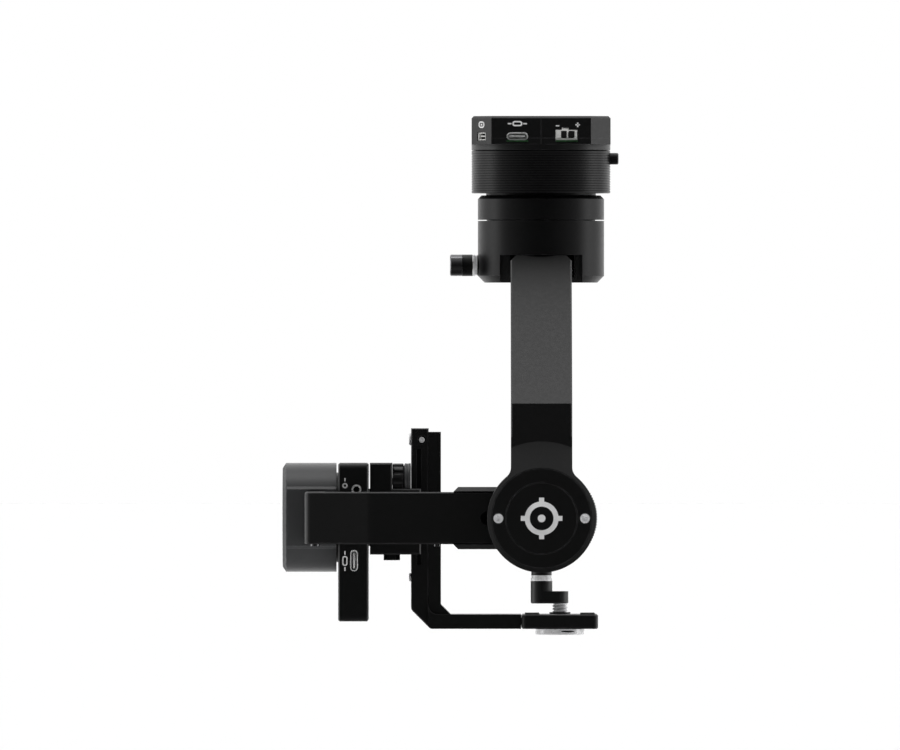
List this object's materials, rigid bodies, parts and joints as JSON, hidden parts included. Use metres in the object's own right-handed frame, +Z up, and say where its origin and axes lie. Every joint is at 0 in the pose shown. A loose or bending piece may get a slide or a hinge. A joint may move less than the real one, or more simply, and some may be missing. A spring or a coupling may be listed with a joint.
{
  "type": "gimbal stabilizer",
  "caption": "Three-axis camera gimbal: mounting head with lock ring, pan, roll and tilt motors on bent arms, rail clamp, L-bracket and camera tray.",
  "frame": {"origin": "middle of the mounting head's flat top, on the pan axis", "axes": "+Z up along the pan axis, +Y the camera's viewing direction along the roll axis, +X right along the tilt axis"},
  "size_m": [0.1399, 0.1219, 0.2159],
  "materials": {
    "black_alloy": "satin, bead-blasted and anodised black",
    "ring_alloy": "turned, fine ribs, anodised black",
    "grey_alloy": "satin, anodised dark grey",
    "bright_steel": "turned stainless steel",
    "dark_steel": "laminated electrical steel",
    "copper_wire": "enamelled copper winding",
    "magnet": "nickel-plated magnet",
    "board_green": "solder-masked circuit board",
    "white_nylon": "moulded white nylon",
    "black_plastic": "moulded black plastic",
    "port_steel": "stamped port shell",
    "gold_contact": "plated contact",
    "pad_rubber": "fine-ribbed rubber",
    "light_inlay": "light grey inlay"
  },
  "bodies": {
    "base": {"head_shell": "black_alloy", "head_base": "black_alloy", "head_board": "board_green", "data_port": "port_steel", "power_connector": "white_nylon", "power_pins": "gold_contact", "side_connector": "black_plastic", "head_screws": "bright_steel", "neck": "black_alloy", "pan_upper_housing": "black_alloy", "pan_stator": "dark_steel", "pan_coils": "copper_wire", "pan_bearings": "bright_steel"},
    "lock_ring": {"lock_ring": "ring_alloy"},
    "release_button": {"release_button": "black_alloy"},
    "pan_frame": {"pan_lower_housing": "black_alloy", "pan_rotor": "black_alloy", "pan_magnets": "magnet", "arm_clamp_rails": "black_alloy", "frame_screws": "bright_steel", "pan_lock_collar": "bright_steel"},
    "pan_lock": {"pan_lock_lever": "black_alloy"},
    "pan_pin": {"pan_lock_pin": "bright_steel"},
    "arm": {"vertical_arm": "black_alloy", "roll_motor_cover": "black_alloy", "cover_inlay": "light_inlay", "cover_screws": "bright_steel", "roll_stator": "dark_steel", "roll_coils": "copper_wire", "roll_bearings": "bright_steel", "roll_lock_collar": "bright_steel"},
    "roll_lock": {"roll_lock_lever": "black_alloy"},
    "roll_pin": {"roll_lock_pin": "bright_steel"},
    "roll_frame": {"roll_rotor": "black_alloy", "roll_magnets": "magnet", "arm_clamp": "black_alloy"},
    "clamp_knob": {"clamp_knob": "black_alloy"},
    "roll_arm": {"roll_arm": "black_alloy", "bar_screws": "bright_steel", "tilt_motor_housing": "grey_alloy", "tilt_end_cap": "grey_alloy", "tilt_stator": "dark_steel", "tilt_coils": "copper_wire", "tilt_bearings": "bright_steel"},
    "tilt_frame": {"tilt_rotor": "black_alloy", "tilt_magnets": "magnet", "electronics_case": "black_alloy", "case_lid": "black_alloy", "case_board": "board_green", "case_ports": "port_steel", "rail_clamp": "black_alloy", "clamp_bolt": "black_alloy"},
    "rail_knob": {"rail_knob": "black_alloy"},
    "bracket": {"camera_rail": "black_alloy", "l_bracket": "black_alloy", "stop_screws": "bright_steel"},
    "tray": {"camera_tray": "black_alloy", "tray_pads": "pad_rubber"},
    "camera_screw": {"camera_screw": "bright_steel"},
    "screw_ring": {"screw_ring": "bright_steel"}
  },
  "joints": [
    {"name": "pan", "type": "hinge", "parent": "base", "child": "pan_frame", "pos_m": [0, 0, -0.05], "axis": [0, 0, 1], "range_deg": [-330, 330]},
    {"name": "lock_ring_turn", "type": "hinge", "parent": "base", "child": "lock_ring", "pos_m": [0, 0, -0.023], "axis": [0, 0, 1], "range_deg": [0, 25]},
    {"name": "release_press", "type": "slide", "parent": "lock_ring", "child": "release_button", "axis": [-1, 0, 0], "range_m": [0, 0.002], "stiffness_N_per_m": 500},
    {"name": "pan_lock_turn", "type": "hinge", "parent": "pan_frame", "child": "pan_lock", "pos_m": [-0.03, 0, -0.062], "axis": [1, 0, 0], "range_deg": [0, 90]},
    {"name": "pan_pin_lift", "type": "slide", "parent": "pan_frame", "child": "pan_pin", "axis": [0, 0, 1], "range_m": [0, 0.0022]},
    {"name": "arm_slide", "type": "slide", "parent": "pan_frame", "child": "arm", "axis": [0, -1, 0], "range_m": [-0.003, 0.008]},
    {"name": "roll", "type": "hinge", "parent": "arm", "child": "roll_frame", "pos_m": [0, -0.08, -0.167], "axis": [0, 1, 0], "range_deg": [-45, 45]},
    {"name": "roll_lock_turn", "type": "hinge", "parent": "arm", "child": "roll_lock", "pos_m": [0, -0.0775, -0.195], "axis": [0, 0, -1], "range_deg": [0, 90]},
    {"name": "roll_pin_push", "type": "slide", "parent": "arm", "child": "roll_pin", "axis": [0, 0, 1], "range_m": [0, 0.0018]},
    {"name": "roll_arm_slide", "type": "slide", "parent": "roll_frame", "child": "roll_arm", "axis": [1, 0, 0], "range_m": [-0.006, 0.0055]},
    {"name": "clamp_knob_turn", "type": "hinge", "parent": "roll_frame", "child": "clamp_knob", "pos_m": [0.0033, -0.0585, -0.167], "axis": [0, 1, 0], "range_deg": [0, 180]},
    {"name": "tilt", "type": "hinge", "parent": "roll_arm", "child": "tilt_frame", "pos_m": [-0.09, 0, -0.167], "axis": [1, 0, 0], "range_deg": [-120, 45]},
    {"name": "rail_knob_turn", "type": "hinge", "parent": "tilt_frame", "child": "rail_knob", "pos_m": [-0.0595, -0.0135, -0.1519], "axis": [1, 0, 0], "range_deg": [0, 180]},
    {"name": "rail_slide", "type": "slide", "parent": "tilt_frame", "child": "bracket", "axis": [0, 0, -1], "range_m": [-0.004, 0.016]},
    {"name": "tray_slide", "type": "slide", "parent": "bracket", "child": "tray", "axis": [1, 0, 0], "range_m": [0, 0.01]},
    {"name": "camera_screw_turn", "type": "hinge", "parent": "tray", "child": "camera_screw", "pos_m": [0.0079, 0, -0.209], "axis": [0, 0, 1], "continuous": true},
    {"name": "screw_ring_flip", "type": "hinge", "parent": "camera_screw", "child": "screw_ring", "pos_m": [0.0049, 0, -0.2152], "axis": [0, 1, 0], "range_deg": [0, 95]}
  ],
  "couplings": [
    {"joint": "pan_pin_lift", "follows": "pan_lock_turn", "m_per_rad": 0.0014},
    {"joint": "roll_pin_push", "follows": "roll_lock_turn", "m_per_rad": 0.001145}
  ]
}
